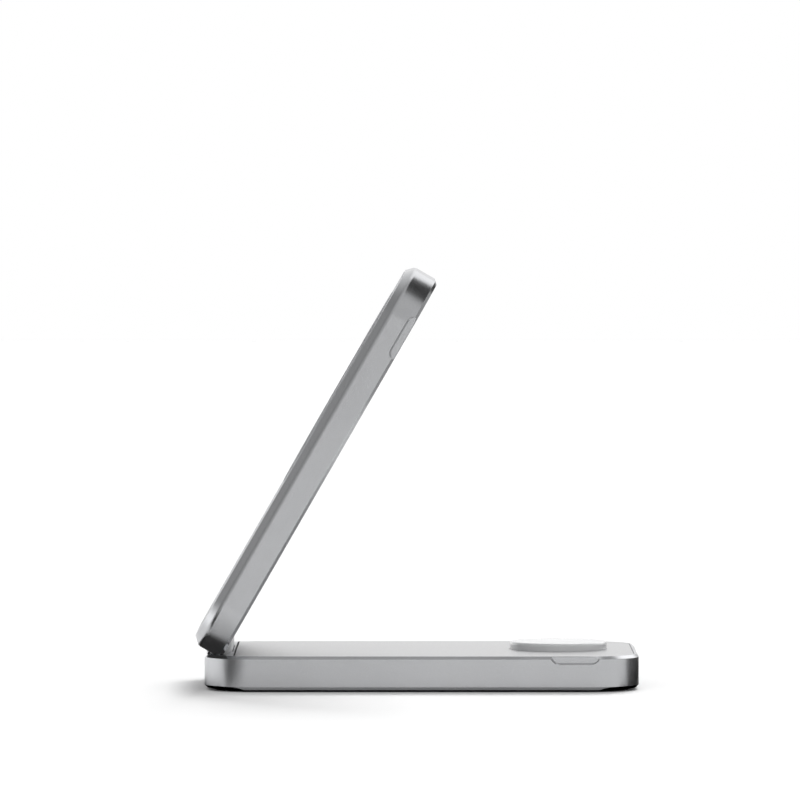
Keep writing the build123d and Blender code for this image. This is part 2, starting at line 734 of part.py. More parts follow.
# Soft ring that the telephone rests on
with BuildPart() as soft_ring:
    with BuildSketch(panel_inner.offset(slab_thickness - ring_groove)):
        with Locations((ring_x, 0)):
            coil_outline(ring_outer - plate_gap / 2, ring_inner + plate_gap / 2)
    extrude(amount=ring_groove + ring_proud)
    chamfer(soft_ring.edges().group_by(Axis(panel_centre, out_of_panel))[-1], ring_edge)
soft_ring.part.label = "soft_ring"
export_step(soft_ring.part, "parts/soft_ring.step")

# Ring of magnets glued behind the face plate
with BuildPart() as magnet_ring:
    with BuildSketch(panel_inner.offset(face_bottom)):
        with Locations((ring_x, 0)):
            coil_outline(magnet_outer, magnet_inner)
            with PolarLocations((magnet_inner + magnet_outer) / 2, magnet_count):
                Rectangle(2 * (magnet_outer - magnet_inner), magnet_gap, mode=Mode.SUBTRACT)
    extrude(amount=-magnet_height)
magnet_ring.part.label = "magnet_ring"
export_step(magnet_ring.part, "parts/magnet_ring.step")

# Alignment magnet below the ring
with BuildPart() as alignment_magnet:
    with BuildSketch(panel_inner.offset(face_bottom)):
        with Locations((ring_x - ring_outer - align_gap, 0)):
            Rectangle(align_length, align_width, align=(Align.MAX, Align.CENTER))
    extrude(amount=-magnet_height)
alignment_magnet.part.label = "alignment_magnet"
export_step(alignment_magnet.part, "parts/alignment_magnet.step")

# Telephone coil inside the ring
with BuildPart() as phone_coil:
    with BuildSketch(panel_inner.offset(face_bottom)):
        with Locations((ring_x, 0)):
            coil_outline(phone_coil_outer, phone_coil_inner)
    extrude(amount=-phone_coil_height)
    with BuildSketch(panel_inner.offset(face_bottom)):
        with Locations((ring_x, 0)):
            turn_lines(phone_coil_outer, phone_coil_inner)
    extrude(amount=-phone_coil_height / 2, mode=Mode.SUBTRACT)
phone_coil.part.label = "phone_coil"
export_step(phone_coil.part, "parts/phone_coil.step")

# Telephone ferrite behind the coil
with BuildPart() as phone_ferrite:
    with BuildSketch(panel_inner.offset(face_bottom - phone_coil_height)):
        with Locations((ring_x, 0)):
            Circle(phone_ferrite_radius)
    extrude(amount=-phone_ferrite_height)
phone_ferrite.part.label = "phone_ferrite"
export_step(phone_ferrite.part, "parts/phone_ferrite.step")

# Inner cover: moulded plate with the cup that the puck folds into
with BuildPart() as inner_cover:
    with BuildSketch(panel_inner):
        plate_outline(plate_rim + plate_gap, plate_start + plate_gap, plate_corner)
    extrude(amount=cover_thickness)
    with BuildSketch(panel_inner.offset(cover_thickness)):
        with Locations((puck_x, 0)):
            Circle(puck_recess_radius + puck_recess_wall)
    extrude(amount=puck_recess_depth + puck_recess_wall - cover_thickness)
    with BuildSketch(panel_inner):
        with Locations((puck_x, 0)):
            Circle(puck_recess_radius)
    extrude(amount=puck_recess_depth, mode=Mode.SUBTRACT)
    mouth = inner_cover.edges().group_by(Axis(panel_centre, out_of_panel))[0].filter_by(GeomType.CIRCLE)
    chamfer(mouth.sort_by(SortBy.RADIUS)[-1], puck_recess_edge)
inner_cover.part.label = "inner_cover"
export_step(inner_cover.part, "parts/inner_cover.step")

# Panel battery: pouch cell glued to the inner cover
with BuildPart() as panel_battery:
    with BuildSketch(panel_inner.offset(cover_thickness)):
        with Locations((panel_cell_start + panel_cell_length / 2, 0)):
            RectangleRounded(panel_cell_length, panel_cell_width, cell_corner)
    extrude(amount=panel_cell_height)
    fillet(panel_battery.edges().group_by(Axis(panel_centre, out_of_panel))[-1], cell_edge)
    with BuildSketch(panel_inner.offset(cover_thickness)):
        with Locations((panel_cell_end, 0)):
            Rectangle(cell_tab_length, panel_cell_width - 4 * cell_corner, align=(Align.MIN, Align.CENTER))
    extrude(amount=cell_tab_height)
panel_battery.part.label = "panel_battery"
export_step(panel_battery.part, "parts/panel_battery.step")

# Panel circuit board between the cheeks and the cell
with BuildPart() as panel_board:
    with BuildSketch(panel_inner.offset(cover_thickness)):
        with Locations((panel_board_start, 0)):
            Rectangle(panel_board_length, panel_board_width, align=(Align.MIN, Align.CENTER))
    extrude(amount=board_thickness)
    with BuildSketch(panel_inner.offset(cover_thickness + board_thickness)):
        with Locations((panel_board_start + panel_board_length / 2, 0)):
            with GridLocations(0, panel_board_width / 4, 1, 3):
                Rectangle(panel_board_length / 2, panel_board_width / 8)
    extrude(amount=chip_height)
panel_board.part.label = "panel_board"
export_step(panel_board.part, "parts/panel_board.step")
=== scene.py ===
import json
import bpy
import bmesh
from math import sin, cos, atan2, sqrt, pi, radians, degrees
from mathutils import Matrix, Vector


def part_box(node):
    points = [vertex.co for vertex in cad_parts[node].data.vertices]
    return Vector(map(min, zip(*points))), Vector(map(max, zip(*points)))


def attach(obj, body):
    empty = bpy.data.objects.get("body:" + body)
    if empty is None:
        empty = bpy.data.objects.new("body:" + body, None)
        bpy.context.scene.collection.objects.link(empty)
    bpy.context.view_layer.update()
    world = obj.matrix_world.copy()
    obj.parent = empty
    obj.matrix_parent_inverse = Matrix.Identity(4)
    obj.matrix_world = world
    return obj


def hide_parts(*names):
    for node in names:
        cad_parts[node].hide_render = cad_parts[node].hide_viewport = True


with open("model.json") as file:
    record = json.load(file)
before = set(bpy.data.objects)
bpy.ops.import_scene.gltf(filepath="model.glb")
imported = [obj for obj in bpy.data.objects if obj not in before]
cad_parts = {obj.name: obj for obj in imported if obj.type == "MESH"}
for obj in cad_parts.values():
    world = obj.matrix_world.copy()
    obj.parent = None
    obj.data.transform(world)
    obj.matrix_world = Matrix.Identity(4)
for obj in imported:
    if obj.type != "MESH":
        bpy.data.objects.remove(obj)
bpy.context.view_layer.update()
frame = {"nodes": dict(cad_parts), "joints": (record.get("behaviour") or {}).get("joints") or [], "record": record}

mm = 0.001

# the frame gives the slab's size, where it stands and where the hinge is
slabLow, slabHigh = (Vector(corner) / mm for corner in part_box("base_frame"))
foldJoint = next(joint for joint in frame["joints"] if joint["name"] == "fold")
pivot = Vector(foldJoint["pos_m"]) / mm
leanAngle = radians(foldJoint["range_deg"][1])

slab = {
    "length": slabHigh.x - slabLow.x,
    "width": slabHigh.y - slabLow.y,
    "thickness": slabHigh.z - slabLow.z,
    "bottom": slabLow.z,
    "corner": 13.0,
    "chamfer": 0.75,
    "bevel": 1.9,        # wide soft bevel on the outer side of the panel
    "bevelBlend": 1.6,
    "bevelEdge": 0.12,
    "edge": 0.08,        # broken edges
    "cap": 1.0,          # where the flat sides start, in from the outline
    "outerCap": 2.1,
    "foldGap": 0.3,
}
slab["top"] = slab["bottom"] + slab["thickness"]
halfLength = slab["length"] / 2
halfWidth = slab["width"] / 2

# places are in millimetres on the base, or on the panel with x along it and z out of it
basePlace = Matrix.Scale(mm, 4)
alongPanel = Vector((cos(leanAngle), 0, sin(leanAngle)))
outOfPanel = Vector((-sin(leanAngle), 0, cos(leanAngle)))
pivotDepth = pivot.z - slab["top"] - slab["foldGap"]
panelCentre = pivot + alongPanel * -pivot.x - outOfPanel * pivotDepth
panelPlace = basePlace @ Matrix((
    (alongPanel.x, 0, outOfPanel.x, panelCentre.x),
    (0, 1, 0, panelCentre.y),
    (alongPanel.z, 0, outOfPanel.z, panelCentre.z),
    (0, 0, 0, 1)))
acrossBase = basePlace @ Matrix.Translation(pivot) @ Matrix.Rotation(pi / 2, 4, "X")
acrossPanel = (basePlace @ Matrix.Translation(pivot) @ Matrix.Rotation(-leanAngle, 4, "Y")
               @ Matrix.Rotation(pi / 2, 4, "X"))


def linearColour(hexValue):
    # sRGB as written, to the linear values that sockets hold
    parts = [int(hexValue[i:i + 2], 16) / 255 for i in (1, 3, 5)]
    return [p / 12.92 if p <= 0.04045 else ((p + 0.055) / 1.055) ** 2.4 for p in parts] + [1.0]


def addNode(tree, kind, inputs=None, **settings):
    node = tree.nodes.new(kind)
    for name, value in settings.items():
        setattr(node, name, value)
    for name, value in (inputs or {}).items():
        if isinstance(value, bpy.types.NodeSocket):
            tree.links.new(value, node.inputs[name])
        else:
            node.inputs[name].default_value = value
    return node


def startMaterial(name, **constants):
    # the constants are sockets of the shader, with _ for a space
    material = bpy.data.materials.new(name)
    material.use_nodes = True
    tree = material.node_tree
    shader = tree.nodes["Principled BSDF"]
    for socket, value in constants.items():
        shader.inputs[socket.replace("_", " ")].default_value = value
    place = addNode(tree, "ShaderNodeTexCoord").outputs["Object"]
    return material, tree, shader, place


def dress(tree, shader, pattern, look):
    # one pattern drives the colour, the roughness and the relief, as far as the look names them
    if "dark" in look:
        tone = addNode(tree, "ShaderNodeMix", {"Factor": pattern, "A": linearColour(look["dark"]),
                                               "B": linearColour(look["light"])}, data_type="RGBA")
        tree.links.new(tone.outputs["Result"], shader.inputs["Base Color"])
    if "rough" in look:
        low, high = look["rough"]
        gloss = addNode(tree, "ShaderNodeMapRange", {"Value": pattern, "To Min": low, "To Max": high})
        tree.links.new(gloss.outputs["Result"], shader.inputs["Roughness"])
    if "relief" in look:
        bump = addNode(tree, "ShaderNodeBump", {"Height": pattern, "Strength": look["relief"],
                                                "Distance": look["depthMm"] * mm})
        tree.links.new(bump.outputs["Normal"], shader.inputs["Normal"])


def addGrain(tree, shader, place, look):
    # an uneven grain of the look's size, drawn out along the way it was worked where the look has a stretch
    if "stretch" in look:
        stretched = addNode(tree, "ShaderNodeMapping", {"Vector": place, "Scale": look["stretch"]})
        place = stretched.outputs["Vector"]
    grain = addNode(tree, "ShaderNodeTexNoise", {"Vector": place, "Scale": 1 / (look["grainMm"] * mm),
                                                 "Detail": look["detail"]})
    dress(tree, shader, grain.outputs["Fac"], look)


def grainFinish(name, look, **constants):
    # a finish that one grain makes
    material, tree, shader, place = startMaterial(name, **constants)
    addGrain(tree, shader, place, look)
    return material


# the finishes, each named for what it is made of
print("materials")


def blastedAluminium():
    # bead blasted, then clear anodised: even satin silver with a very fine grit
    cloud = {"dark": "#b6b7b9", "light": "#bebfc1", "grainMm": 22, "detail": 2.0}
    # real grit is about 0.05 mm, drawn three times as coarse so that it shows
    grit = {"rough": (0.24, 0.34), "relief": 0.10, "depthMm": 0.02, "grainMm": 0.16, "detail": 3.0}
    material, tree, shader, place = startMaterial("bead blasted anodised aluminium", Metallic=1.0)
    addGrain(tree, shader, place, cloud)
    addGrain(tree, shader, place, grit)
    return material


def polishedAluminium():
    # diamond cut after blasting: bright, with faint cutter lines
    # the real lines are too fine to show, so they are drawn at 0.3 mm
    look = {"dark": "#babbbd", "light": "#c4c5c7", "rough": (0.14, 0.22), "grainMm": 0.3, "detail": 1.0}
    return grainFinish("diamond cut aluminium edge", look, Metallic=1.0)


def machinedAluminium():
    # milled, then blasted lightly: pale, with faint tool lines along the hinge
    # the real lines are too fine to show, so they are drawn at 0.25 mm
    look = {"dark": "#eeeeef", "light": "#f5f5f6", "rough": (0.42, 0.56), "relief": 0.15, "depthMm": 0.02,
            "grainMm": 0.25, "detail": 3.0, "stretch": (1.0, 0.06, 1.0)}
    return grainFinish("milled aluminium", look, Metallic=1.0)


def silverPaint():
    # satin silver lacquer on moulded polycarbonate: small metal flakes under a thin clear coat
    # real flakes are too fine to show, so they are drawn at 0.2 mm
    look = {"dark": "#b3b3b4", "light": "#c2c2c3", "flakeMm": 0.2, "cloudMm": 18, "cloudDetail": 2.0}
    gloss = {"rough": (0.28, 0.42)}
    material, tree, shader, place = startMaterial("satin silver lacquer on polycarbonate", Metallic=0.85,
                                                  Coat_Weight=0.15, Coat_Roughness=0.3)
    flakes = addNode(tree, "ShaderNodeTexVoronoi", {"Vector": place, "Scale": 1 / (look["flakeMm"] * mm)})
    cloud = addNode(tree, "ShaderNodeTexNoise", {"Vector": place, "Scale": 1 / (look["cloudMm"] * mm),
                                                 "Detail": look["cloudDetail"]})
    eachFlake = addNode(tree, "ShaderNodeSeparateColor", {"Color": flakes.outputs["Color"]}).outputs
    mixed = addNode(tree, "ShaderNodeMath", {0: eachFlake["Red"], 1: cloud.outputs["Fac"]},
                    operation="MULTIPLY")
    dress(tree, shader, mixed.outputs["Value"], look)
    dress(tree, shader, eachFlake["Green"], gloss)
    return material


def softTouchPlate():
    # soft-touch lacquer on the plate that carries the charging ring: matte, faintly pebbled
    # the real pebbles are too fine to show, so they are drawn at 0.22 mm
    look = {"dark": "#adaeb1", "light": "#b7b8bb", "rough": (0.5, 0.62), "relief": 0.2, "depthMm": 0.03,
            "grainMm": 0.22, "detail": 2.0}
    return grainFinish("soft touch grey lacquer", look, Sheen_Weight=0.08)


def silicone(name, dark, light, shine=0.5):
    # moulded silicone rubber with an eroded mould surface: dull, with a soft edge glow
    # the real pits are too fine to show, so they are drawn at 0.15 mm
    look = {"dark": dark, "light": light, "rough": (0.6, 0.75), "relief": 0.25, "depthMm": 0.03,
            "grainMm": 0.15, "detail": 4.0}
    return grainFinish(name, look, IOR=1.43, Specular_IOR_Level=shine, Sheen_Weight=0.05, Sheen_Roughness=0.5)


def puckPlastic():
    # gloss moulded polycarbonate: white, with the slow waves a mould leaves
    look = {"dark": "#dfe0e1", "light": "#e6e7e8", "rough": (0.14, 0.24), "relief": 0.08, "depthMm": 0.05,
            "grainMm": 3.0, "detail": 1.0}
    return grainFinish("gloss white polycarbonate", look, IOR=1.58, Coat_Weight=0.2)


def drawnMetal(name, dark, light, stretch, rough):
    # turned, rolled or drawn metal: short bright and dull lines along the way it was worked
    # the real lines are too fine to show, so they are drawn at 0.12 mm
    look = {"dark": dark, "light": light, "rough": (rough - 0.07, rough + 0.07), "relief": 0.2,
            "depthMm": 0.01, "grainMm": 0.12, "detail": 4.0, "stretch": stretch}
    return grainFinish(name, look, Metallic=1.0)


def woundCopper(name, centre, lean=0.0):
    # enamelled copper wire wound flat: one ring for each turn, centred on the coil and laid in its plane
    # the wave texture's rings lie about a third of waveMm apart, which is 1 mm
    look = {"dark": "#6e3a1c", "light": "#c9824f", "relief": 0.6, "depthMm": 0.1, "waveMm": 3.2}
    material, tree, shader, place = startMaterial(name, Metallic=1.0, Roughness=0.28, Coat_Weight=0.4,
                                                  Coat_Roughness=0.15)
    middle = addNode(tree, "ShaderNodeVectorMath", {0: place, 1: centre}, operation="SUBTRACT")
    level = addNode(tree, "ShaderNodeVectorRotate", {"Vector": middle.outputs["Vector"], "Angle": lean},
                    rotation_type="Y_AXIS")
    wires = addNode(tree, "ShaderNodeTexWave", {"Vector": level.outputs["Vector"],
                                                "Scale": 1 / (look["waveMm"] * mm)},
                    wave_type="RINGS", rings_direction="Z")
    dress(tree, shader, wires.outputs["Fac"], look)
    return material


def mottled(name, dark, light, grainMm, rough, metallic, relief=0.2):
    # pressed, plated or laminated stock with an uneven tone from its grain
    look = {"dark": dark, "light": light, "rough": (rough - 0.08, rough + 0.08), "relief": relief,
            "depthMm": 0.05, "grainMm": grainMm, "detail": 4.0}
    return grainFinish(name, look, Metallic=metallic)


def solderMask():
    # green solder mask over copper: the tracks show as raised lines in a lighter green
    # the brick texture's rows are a quarter of patternMm high, and its lines twice halfTrack of it wide
    look = {"mask": "#14452c", "maskToo": "#1a5436", "track": "#2b7a4f", "patternMm": 6, "halfTrack": 0.04,
            "relief": 0.3, "depthMm": 0.03}
    sheen = {"rough": (0.28, 0.4), "grainMm": 0.5, "detail": 2.0}
    material, tree, shader, place = startMaterial("solder masked circuit board", Coat_Weight=0.3)
    tracks = addNode(tree, "ShaderNodeTexBrick", {
        "Vector": place, "Scale": 1 / (look["patternMm"] * mm), "Mortar Size": look["halfTrack"],
        "Color1": linearColour(look["mask"]), "Color2": linearColour(look["maskToo"]),
        "Mortar": linearColour(look["track"])})
    tree.links.new(tracks.outputs["Color"], shader.inputs["Base Color"])
    dress(tree, shader, tracks.outputs["Fac"], look)
    addGrain(tree, shader, place, sheen)
    return material


def clearPlastic():
    # moulded clear acrylic with a milky core, so that unlit lights look pale grey
    # real frost is too fine to show, so it is drawn at 0.2 mm
    look = {"dark": "#d9dbdd", "light": "#eceef0", "rough": (0.2, 0.35), "grainMm": 0.2, "detail": 2.0}
    return grainFinish("frosted acrylic", look, IOR=1.49, Transmission_Weight=0.35)


watchX, earbudX, ringX = 35.0, -10.0, 19.0   # centres along the slabs
ringCentre = panelPlace @ Vector((ringX, 0, slab["thickness"]))

finishes = {
    "frame_aluminium": blastedAluminium(),
    "cutEdge": polishedAluminium(),
    "silver_plate": silverPaint(),
    "face_plate": softTouchPlate(),
    "soft_silicone": silicone("light grey silicone", "#8f9093", "#9d9ea1"),
    "foot_silicone": silicone("dark grey silicone", "#0e0e0f", "#18181a", 0.2),
    "puck_plastic": puckPlastic(),
    "knuckle_steel": machinedAluminium(),
    "steel": drawnMetal("turned steel", "#8e8f92", "#b5b6b9", (1.0, 0.1, 1.0), 0.3),
    "spring_steel": drawnMetal("rolled spring steel", "#5d5f64", "#86888d", (1.0, 0.15, 1.0), 0.35),
    "socket_steel": drawnMetal("drawn stainless steel", "#8a8b8e", "#a9aaad", (0.1, 1.0, 1.0), 0.28),
    "ferrite": mottled("pressed ferrite sheet", "#1b1b1d", "#2a2a2d", 0.4, 0.6, 0.0),
    "magnet": mottled("nickel plated magnet", "#9c9a95", "#b8b6b0", 1.2, 0.25, 1.0, 0.05),
    "cell_foil": mottled("laminated foil pouch", "#a9abad", "#c1c3c5", 2.5, 0.32, 0.9, 0.35),
    "circuit_board": solderMask(),
    "switch_plastic": mottled("black moulded nylon", "#141415", "#1f1f21", 0.3, 0.5, 0.0),
    "light_plastic": clearPlastic(),
    "gold": mottled("gold plated contact", "#c39a45", "#dcb864", 0.4, 0.22, 1.0, 0.05),
}
coilFinishes = {
    "watch_coil": woundCopper("copper wire, watch coil", Vector((watchX, 0, 0)) * mm),
    "earbud_coil": woundCopper("copper wire, earbud coil", Vector((earbudX, 0, 0)) * mm),
    "phone_coil": woundCopper("copper wire, telephone coil", ringCentre, leanAngle),
}


# outlines and mesh tools work in millimetres
samePoint, noEdge = 1e-5, 1e-6   # points this close are one, and edges this short go
past = 1.0                       # how far a cutter reaches beyond the face it cuts


def arc(x, y, radius, start, end, steps):
    angles = [radians(start + (end - start) * i / steps) for i in range(steps + 1)]
    return [(x + radius * cos(a), y + radius * sin(a)) for a in angles]


def slabOutline(inset, steps=24):
    x, y = halfLength - slab["corner"], halfWidth - slab["corner"]
    radius = slab["corner"] - inset
    return (arc(x, -y, radius, -90, 0, steps) + arc(x, y, radius, 0, 90, steps)
            + arc(-x, y, radius, 90, 180, steps) + arc(-x, -y, radius, 180, 270, steps))


def plateOutline(inset, start, corner, steps=24):
    # slab outline drawn inwards, cut square at the hinge end with small rounded corners
    x, y = halfLength - slab["corner"], halfWidth - slab["corner"]
    radius = slab["corner"] - inset
    roundX = -halfLength + start + corner
    roundY = y + sqrt((radius - corner) ** 2 - (roundX + x) ** 2)
    meet = degrees(atan2(roundY - y, roundX + x))
    return (arc(x, -y, radius, -90, 0, steps) + arc(x, y, radius, 0, 90, steps)
            + arc(-x, y, radius, 90, meet, steps // 2)
            + arc(roundX, roundY, corner, meet, 180, steps // 3)
            + arc(roundX, -roundY, corner, 180, 360 - meet, steps // 3)
            + arc(-x, -y, radius, 360 - meet, 270, steps // 2))


def slotOutline(x, y, length, height, steps=12):
    radius, reach = height / 2, (length - height) / 2
    return arc(x + reach, y, radius, -90, 90, steps) + arc(x - reach, y, radius, 90, 270, steps)


def circleOutline(x, y, radius, steps=96):
    return arc(x, y, radius, 0, 360 - 360 / steps, steps - 1)


def boxOutline(left, right, low, high):
    return [(left, low), (right, low), (right, high), (left, high)]


def softProfile(points, rounds, steps=3, wide=0.5):
    # rounds the corners of a side profile, a wide round in four times the steps
    # gives (inset, height) rows and the number of the side below each, which ends in a half within a round
    rows, sides = [points[0]], []
    for i in range(1, len(points) - 1):
        here, before, after = (Vector(points[j]) for j in (i, i - 1, i + 1))
        back, on = (before - here).normalized(), (after - here).normalized()
        turn = back.angle(on)
        reach = rounds[i] * cos(turn / 2) / sin(turn / 2)
        middle = here + (back + on).normalized() * (rounds[i] / sin(turn / 2))
        start, end = here + back * reach - middle, here + on * reach - middle
        count = steps if rounds[i] < wide else 4 * steps
        sweep = start.angle(end)
        for step in range(count + 1):
            t = step / count
            spot = middle + (start * sin((1 - t) * sweep) + end * sin(t * sweep)) / sin(sweep)
            rows.append(tuple(spot))
            sides.append(i - 1 if step == 0 else i - 0.5)
    rows.append(points[-1])
    sides.append(len(points) - 2)
    return rows, sides


def brightSides(sides, *chamfers):
    # finish 1 on the chamfers and on the rounds that end them, finish 0 on the rest
    return [1 if any(abs(side - chamfer) <= 0.5 for chamfer in chamfers) else 0 for side in sides]


def meshObject(name, bm, place, materials):
    bmesh.ops.remove_doubles(bm, verts=bm.verts, dist=samePoint)
    bm.transform(place)
    mesh = bpy.data.meshes.new(name)
    bm.to_mesh(mesh)
    bm.free()
    for key in materials:
        mesh.materials.append(finishes[key])
    piece = bpy.data.objects.new(name, mesh)
    bpy.context.collection.objects.link(piece)
    return piece


def loft(name, rings, place, materials=(), paint=None):
    # rings are (outline, height) from low to high, joined by walls and closed at both ends
    bm = bmesh.new()
    loops = [[bm.verts.new((x, y, height)) for x, y in outline] for outline, height in rings]
    for row, (low, high) in enumerate(zip(loops, loops[1:])):
        for i in range(len(low)):
            j = (i + 1) % len(low)
            if max((low[i].co - low[j].co).length, (high[i].co - high[j].co).length) > samePoint:
                face = bm.faces.new((low[i], low[j], high[j], high[i]))
                face.material_index = paint[row] if paint else 0
    for loop in (loops[0][::-1], loops[-1]):
        bm.faces.new([v for i, v in enumerate(loop) if (v.co - loop[i - 1].co).length > samePoint])
    return meshObject(name, bm, place, materials)


def prism(outline, low, high, place=basePlace):
    return loft("cutter", [(outline, low), (outline, high)], place)


def turned(name, profile, centre, place, materials, segments=128, closed=False):
    # profile is (radius, height); closed means a ring with its own inner wall
    bm = bmesh.new()
    loops = []
    for radius, height in profile:
        loops.append([bm.verts.new((centre[0] + radius * cos(2 * pi * i / segments),
                                    centre[1] + radius * sin(2 * pi * i / segments), height))
                      for i in range(segments)])
    pairs = list(zip(loops, loops[1:])) + ([(loops[-1], loops[0])] if closed else [])
    for low, high in pairs:
        for i in range(segments):
            j = (i + 1) % segments
            bm.faces.new((low[i], low[j], high[j], high[i]))
    bmesh.ops.remove_doubles(bm, verts=bm.verts, dist=samePoint)
    bmesh.ops.dissolve_degenerate(bm, dist=noEdge, edges=bm.edges)
    bmesh.ops.recalc_face_normals(bm, faces=bm.faces)
    return meshObject(name, bm, place, materials)


def cutAway(piece, cutters):
    # takes each cutter's shape out of the piece, and then the cutters go
    for cutter in cutters:
        modifier = piece.modifiers.new("cut", "BOOLEAN")
        modifier.operation, modifier.solver, modifier.object = "DIFFERENCE", "EXACT", cutter
    cleanMesh(piece)
    for cutter in cutters:
        bpy.data.objects.remove(cutter)


def cleanMesh(piece):
    # turns the modifiers' result into the piece's own plain mesh
    view = bpy.context.evaluated_depsgraph_get()
    mesh = bpy.data.meshes.new_from_object(piece.evaluated_get(view), depsgraph=view)
    piece.modifiers.clear()
    piece.data = mesh


def finishPiece(piece, body, slot, *nodes, angle=28):
    # smooth shading with edges sharp past the angle, then the piece is hung on its body and the CAD parts it
    # replaces are hidden; the slot is not used
    mesh = piece.data
    mesh.shade_smooth()
    mesh.set_sharp_from_angle(angle=radians(angle))
    weighted = piece.modifiers.new("even shading", "WEIGHTED_NORMAL")
    weighted.keep_sharp = True
    cleanMesh(piece)
    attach(piece, body)
    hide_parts(*nodes)


# machined tray with the hinge groove, the socket, the button and the lights cut in its walls
print("base frame")
baseCuts = {
    "plateRim": 1.15, "plateStart": 7.4, "plateCorner": 1.2, "plateDepth": 1.2,
    "wall": 2.2, "floor": 1.4, "hingeBoss": 9.0, "cavityCorner": 2.0,
    "padInset": 2.5, "padRecess": 0.5,
    # reach and radius of the hinge groove, which runs out before it meets the walls
    "groove": [(20, 4.2), (22, 4.05), (24, 3.7), (25, 3.45), (26.6, 3.05)],
    "pocketFloor": 3.6, "pocketBack": 1.9, "pocketFront": 3.65, "pocketHalfWidth": 14.1,
    "socketZ": 5.13, "socketWidth": 9.24, "socketHeight": 3.46,
    "buttonX": 35.0, "buttonZ": 4.75, "buttonWidth": 9.0, "buttonHeight": 2.6,
    "lightX": 23.5, "lightPitch": 3.0, "lightCount": 4, "lightRadius": 0.65,
    "endCut": 4.0, "sideCut": 3.0,       # how deep the openings go in from the outside of the walls
}
notch = {"x": 38.75, "length": 12.5, "height": 4.1, "depth": 0.6, "edge": 0.22, "draft": 0.05, "round": 0.2,
         "past": 0.2}


def notchCutter(place, offset):
    # half a pill sunk in the near wall, with a bright broken edge and a rounded floor
    size, rows = notch, []
    for grow, depth in ((size["edge"], -size["past"]), (size["edge"], 0.0), (0.0, size["edge"]),
                        (-size["draft"], size["depth"] - size["round"]),
                        (-size["draft"] - size["round"], size["depth"])):
        outline = slotOutline(size["x"], offset, size["length"] + 2 * grow, size["height"] + 2 * grow)
        rows.append((outline, halfWidth - depth))
    return loft("cutter", rows[::-1], place @ Matrix.Rotation(pi / 2, 4, "X"), ("frame_aluminium", "cutEdge"),
                [0, 0, 1, 1])


bottom, top, chamfer, cap = slab["bottom"], slab["top"], slab["chamfer"], slab["cap"]
baseSides = [(cap, bottom), (chamfer, bottom), (0, bottom + chamfer),
             (0, top - chamfer), (chamfer, top), (cap, top)]
rows, sides = softProfile(baseSides, [slab["edge"]] * 6)
baseShell = loft("base_shell", [(slabOutline(inset), height) for inset, height in rows], basePlace,
                 ("frame_aluminium", "cutEdge"), brightSides(sides, 1, 3))
size = baseCuts
farWall = basePlace @ Matrix.Rotation(-pi / 2, 4, "X")
endWall = basePlace @ Matrix.Rotation(pi / 2, 4, "Y") @ Matrix.Rotation(pi / 2, 4, "Z")
plateSeat = plateOutline(size["plateRim"], size["plateStart"], size["plateCorner"])
cavity = plateOutline(size["wall"], size["hingeBoss"], size["cavityCorner"])
grooveRings = [(circleOutline(0, 0, radius), -reach) for reach, radius in size["groove"][::-1]]
grooveRings += [(circleOutline(0, 0, radius), reach) for reach, radius in size["groove"]]
pocket = boxOutline(pivot.x - size["pocketBack"], pivot.x + size["pocketFront"],
                    -size["pocketHalfWidth"], size["pocketHalfWidth"])
socket = slotOutline(0, size["socketZ"], size["socketWidth"], size["socketHeight"])
buttonHole = slotOutline(size["buttonX"], -size["buttonZ"], size["buttonWidth"], size["buttonHeight"])
cutters = [
    prism(plateSeat, top - size["plateDepth"], top + past),
    prism(cavity, bottom + size["floor"], top + 2 * past),
    prism(slabOutline(size["padInset"]), bottom - past, bottom + size["padRecess"]),
    loft("cutter", grooveRings, acrossBase),
    prism(pocket, size["pocketFloor"], top + past),
    prism(socket, halfLength - size["endCut"], halfLength + past, endWall),
    prism(buttonHole, halfWidth - size["sideCut"], halfWidth + past, farWall),
    notchCutter(basePlace, top + slab["foldGap"] / 2),
]
for i in range(size["lightCount"]):
    lightX = size["lightX"] + (i - (size["lightCount"] - 1) / 2) * size["lightPitch"]
    lightHole = circleOutline(lightX, -size["buttonZ"], size["lightRadius"], 24)
    cutters.append(prism(lightHole, halfWidth - size["sideCut"], halfWidth + past, farWall))
cutAway(baseShell, cutters)
finishPiece(baseShell, "base", "frame_aluminium", "base_frame")

# the leaning frame: fine chamfer on the inner side, wide soft bevel on the outer side
print("panel frame")
panelCuts = {
    "wall": 3.3, "faceDepth": 1.0, "faceRim": 2.3,
    "barrelRadius": 3.75, "halfCheek": 14.5, "barrelReach": 15.0,
    "flat": 3.0, "stopGap": 0.1, "pinRadius": 1.2, "pinReach": 22.2, "pinLap": 0.1,
}
thick, bevel = slab["thickness"], slab["bevel"]
panelSides = [(cap, 0), (chamfer, 0), (0, chamfer),
              (0, thick - bevel), (bevel, thick), (slab["outerCap"], thick)]
panelRounds = [0, slab["edge"], slab["edge"], slab["bevelBlend"], slab["bevelEdge"], 0]
rows, sides = softProfile(panelSides, panelRounds)
panelShell = loft("panel_shell", [(slabOutline(inset), height) for inset, height in rows], panelPlace,
                  ("frame_aluminium", "cutEdge"), brightSides(sides, 1))
size = {**baseCuts, **panelCuts}
lipHeight = (size["flat"] + size["stopGap"] - (halfLength + pivot.x) * cos(leanAngle)) / sin(leanAngle)
pinSlot = boxOutline(0, size["hingeBoss"], -size["pinRadius"], size["pinRadius"])
barrelWay = boxOutline(size["barrelRadius"] - size["barrelReach"], size["barrelRadius"], -2 * pivotDepth, 0)
cavity = plateOutline(size["wall"], size["hingeBoss"], size["cavityCorner"])
cheek, pinLap = size["halfCheek"], size["pinLap"]
